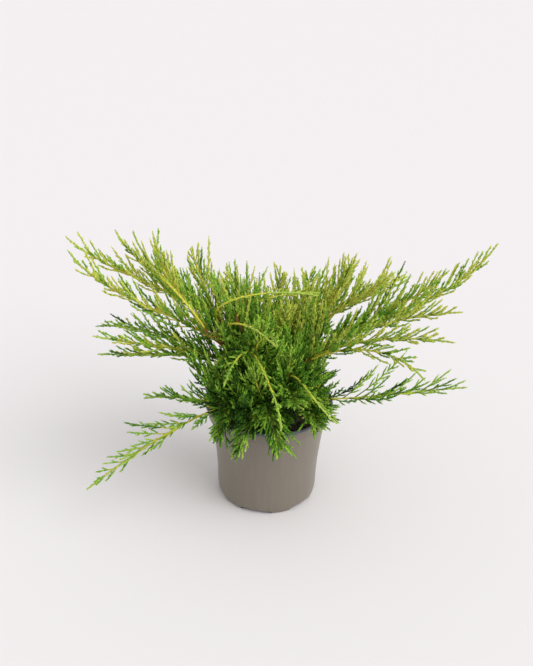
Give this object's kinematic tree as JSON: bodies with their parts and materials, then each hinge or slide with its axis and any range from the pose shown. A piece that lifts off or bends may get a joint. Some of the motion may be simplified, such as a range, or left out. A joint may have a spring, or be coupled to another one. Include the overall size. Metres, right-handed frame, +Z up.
{
  "type": "potted spreading juniper shrub",
  "caption": "Low spreading evergreen shrub with arching plumes of fine needle-like sprays, growing from a short stem in a round tapered nursery pot.",
  "frame": {"origin": "middle of the pot's flat underside, where the part stands", "axes": "+Z up along the pot's axis; +X along the plant's widest spread, to the side where one plume reaches furthest and highest; -Y to the front, where the skirt hangs over the rim"},
  "size_m": [0.6015, 0.3924, 0.4202],
  "materials": {
    "pot_plastic": "taupe-grey thermoformed plastic, satin gloss, smooth",
    "peat": "dark crumbly peat and bark potting mix",
    "bark": "thin red-brown bark in papery strips",
    "foliage_gold": "golden-yellow young shoots with lime scale leaves",
    "foliage_lime": "lime-green scale leaves, matte with a waxy sheen",
    "foliage_green": "mid-green scale leaves, matte with a waxy sheen",
    "foliage_deep": "deep green older scale leaves, matte"
  },
  "bodies": {
    "root": {"pot": "pot_plastic", "growing_medium": "peat", "trunk": "bark", "bough_right": "bark", "bough_right_back": "bark", "bough_right_front": "bark", "bough_right_low": "bark", "bough_left_front": "bark", "bough_left_back": "bark", "bough_left_mid": "bark", "bough_left_low": "bark", "bough_front": "bark", "bough_front_right": "bark", "bough_skirt": "bark", "bough_top": "bark", "bough_back_left": "bark", "bough_back_right": "bark", "plume_right_far": "foliage_lime", "plume_right_near": "foliage_lime", "plume_right_mid": "foliage_green", "plume_right_up": "foliage_lime", "plume_right_fan": "foliage_lime", "plume_right_back": "foliage_green", "plume_right_front": "foliage_green", "plume_right_droop": "foliage_lime", "plume_right_low_rise": "foliage_green", "plume_right_skirt": "foliage_green", "plume_right_low": "foliage_deep", "plume_left_top": "foliage_lime", "plume_left_near": "foliage_gold", "plume_left_far": "foliage_gold", "plume_left_up": "foliage_lime", "plume_left_centre": "foliage_lime", "plume_left_back": "foliage_deep", "plume_left_mid": "foliage_lime", "plume_left_under": "foliage_green", "plume_left_low": "foliage_lime", "plume_left_low_rise": "foliage_green", "plume_left_skirt": "foliage_deep", "plume_left_low_up": "foliage_green", "plume_front_droop": "foliage_gold", "plume_front_arch": "foliage_lime", "plume_front_up": "foliage_lime", "plume_front_left": "foliage_green", "plume_front_right": "foliage_lime", "plume_front_rise": "foliage_green", "plume_front_mid": "foliage_deep", "plume_skirt_left": "foliage_deep", "plume_skirt_rise": "foliage_green", "plume_skirt_right": "foliage_deep", "plume_top_arch": "foliage_gold", "plume_top_back": "foliage_green", "plume_top_left": "foliage_green", "plume_top_right": "foliage_green", "plume_top_front": "foliage_lime", "plume_back_left": "foliage_green", "plume_back_left_low": "foliage_deep", "plume_back_right": "foliage_green", "plume_back_right_low": "foliage_deep"}
  },
  "joints": []
}
